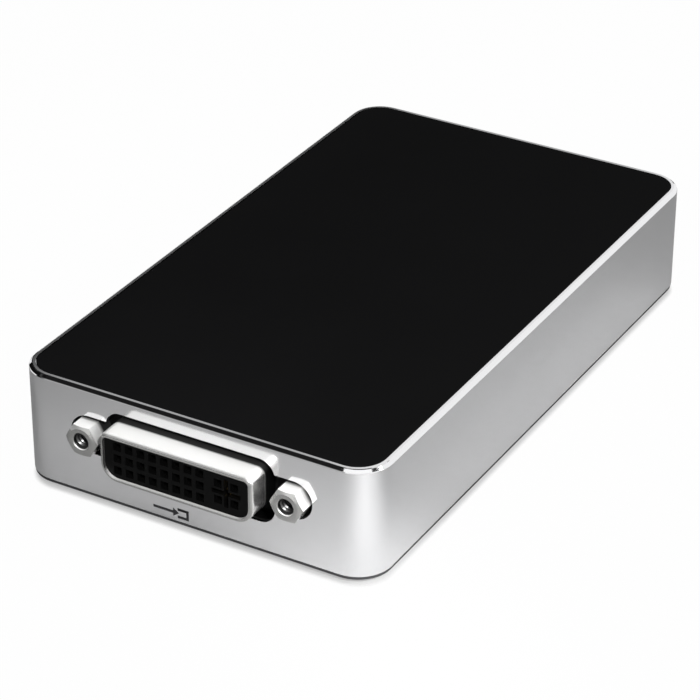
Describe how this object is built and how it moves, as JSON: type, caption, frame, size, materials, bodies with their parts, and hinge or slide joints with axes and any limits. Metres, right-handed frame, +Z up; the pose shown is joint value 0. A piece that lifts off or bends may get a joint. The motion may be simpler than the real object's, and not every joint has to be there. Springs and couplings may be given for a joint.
{
  "type": "video capture box",
  "caption": "Slim metal box with a black top panel that takes DVI video in at the front and sends it on by a data socket at the rear.",
  "frame": {"origin": "on the plane of the feet, under the middle of the whole length and width", "axes": "+Z up, -Y towards the DVI socket at the front, +X to the right seen from the front"},
  "size_m": [0.0576, 0.1038, 0.0184],
  "materials": {
    "case_aluminium": "fine satin anodised aluminium with a polished bevel",
    "panel_black": "smooth black panel with a low sheen",
    "cover_black": "fine textured black powder coat",
    "foot_rubber": "matte black rubber",
    "screw_steel": "blackened steel",
    "bright_steel": "zinc plated steel",
    "nickel": "bright nickel plate",
    "socket_black": "moulded black polyester",
    "socket_blue": "moulded blue polyester",
    "contact_gold": "gold flashed contact alloy",
    "bush_brass": "turned brass",
    "board_green": "solder mask over glass laminate",
    "chip_plastic": "moulded chip compound",
    "ferrite": "pressed ferrite",
    "part_can": "drawn aluminium and nickel cans",
    "ceramic": "fired ceramic",
    "film": "thin polyester film",
    "tape": "acrylic adhesive sheet",
    "pad_grey": "filled silicone pad",
    "clear_plastic": "clear moulded light guide",
    "led_white": "diode package"
  },
  "bodies": {
    "root": {"body_shell": "case_aluminium", "top_panel": "panel_black", "panel_tape": "tape", "bottom_cover": "cover_black", "rubber_feet": "foot_rubber", "cover_screws": "screw_steel", "insulating_sheet": "film", "main_board": "board_green", "board_screws": "bright_steel", "dvi_shell": "nickel", "dvi_insulator": "socket_black", "dvi_contacts": "contact_gold", "dvi_shield": "nickel", "thread_inserts": "bush_brass", "jack_screws": "nickel", "usb_shell": "nickel", "usb_insulator": "socket_blue", "usb_contacts": "contact_gold", "line_in_jack": "socket_black", "headphone_jack": "socket_black", "jack_contacts": "contact_gold", "light_pipe": "clear_plastic", "status_led": "led_white", "main_chip": "chip_plastic", "thermal_pad": "pad_grey", "video_receiver": "chip_plastic", "memory_chips": "chip_plastic", "usb_chip": "chip_plastic", "sound_chip": "chip_plastic", "flash_chip": "chip_plastic", "crystals": "part_can", "regulators": "chip_plastic", "inductors": "ferrite", "polymer_capacitors": "part_can", "ceramic_capacitors": "ceramic", "resistors": "chip_plastic", "surge_arrays": "chip_plastic"}
  },
  "joints": []
}
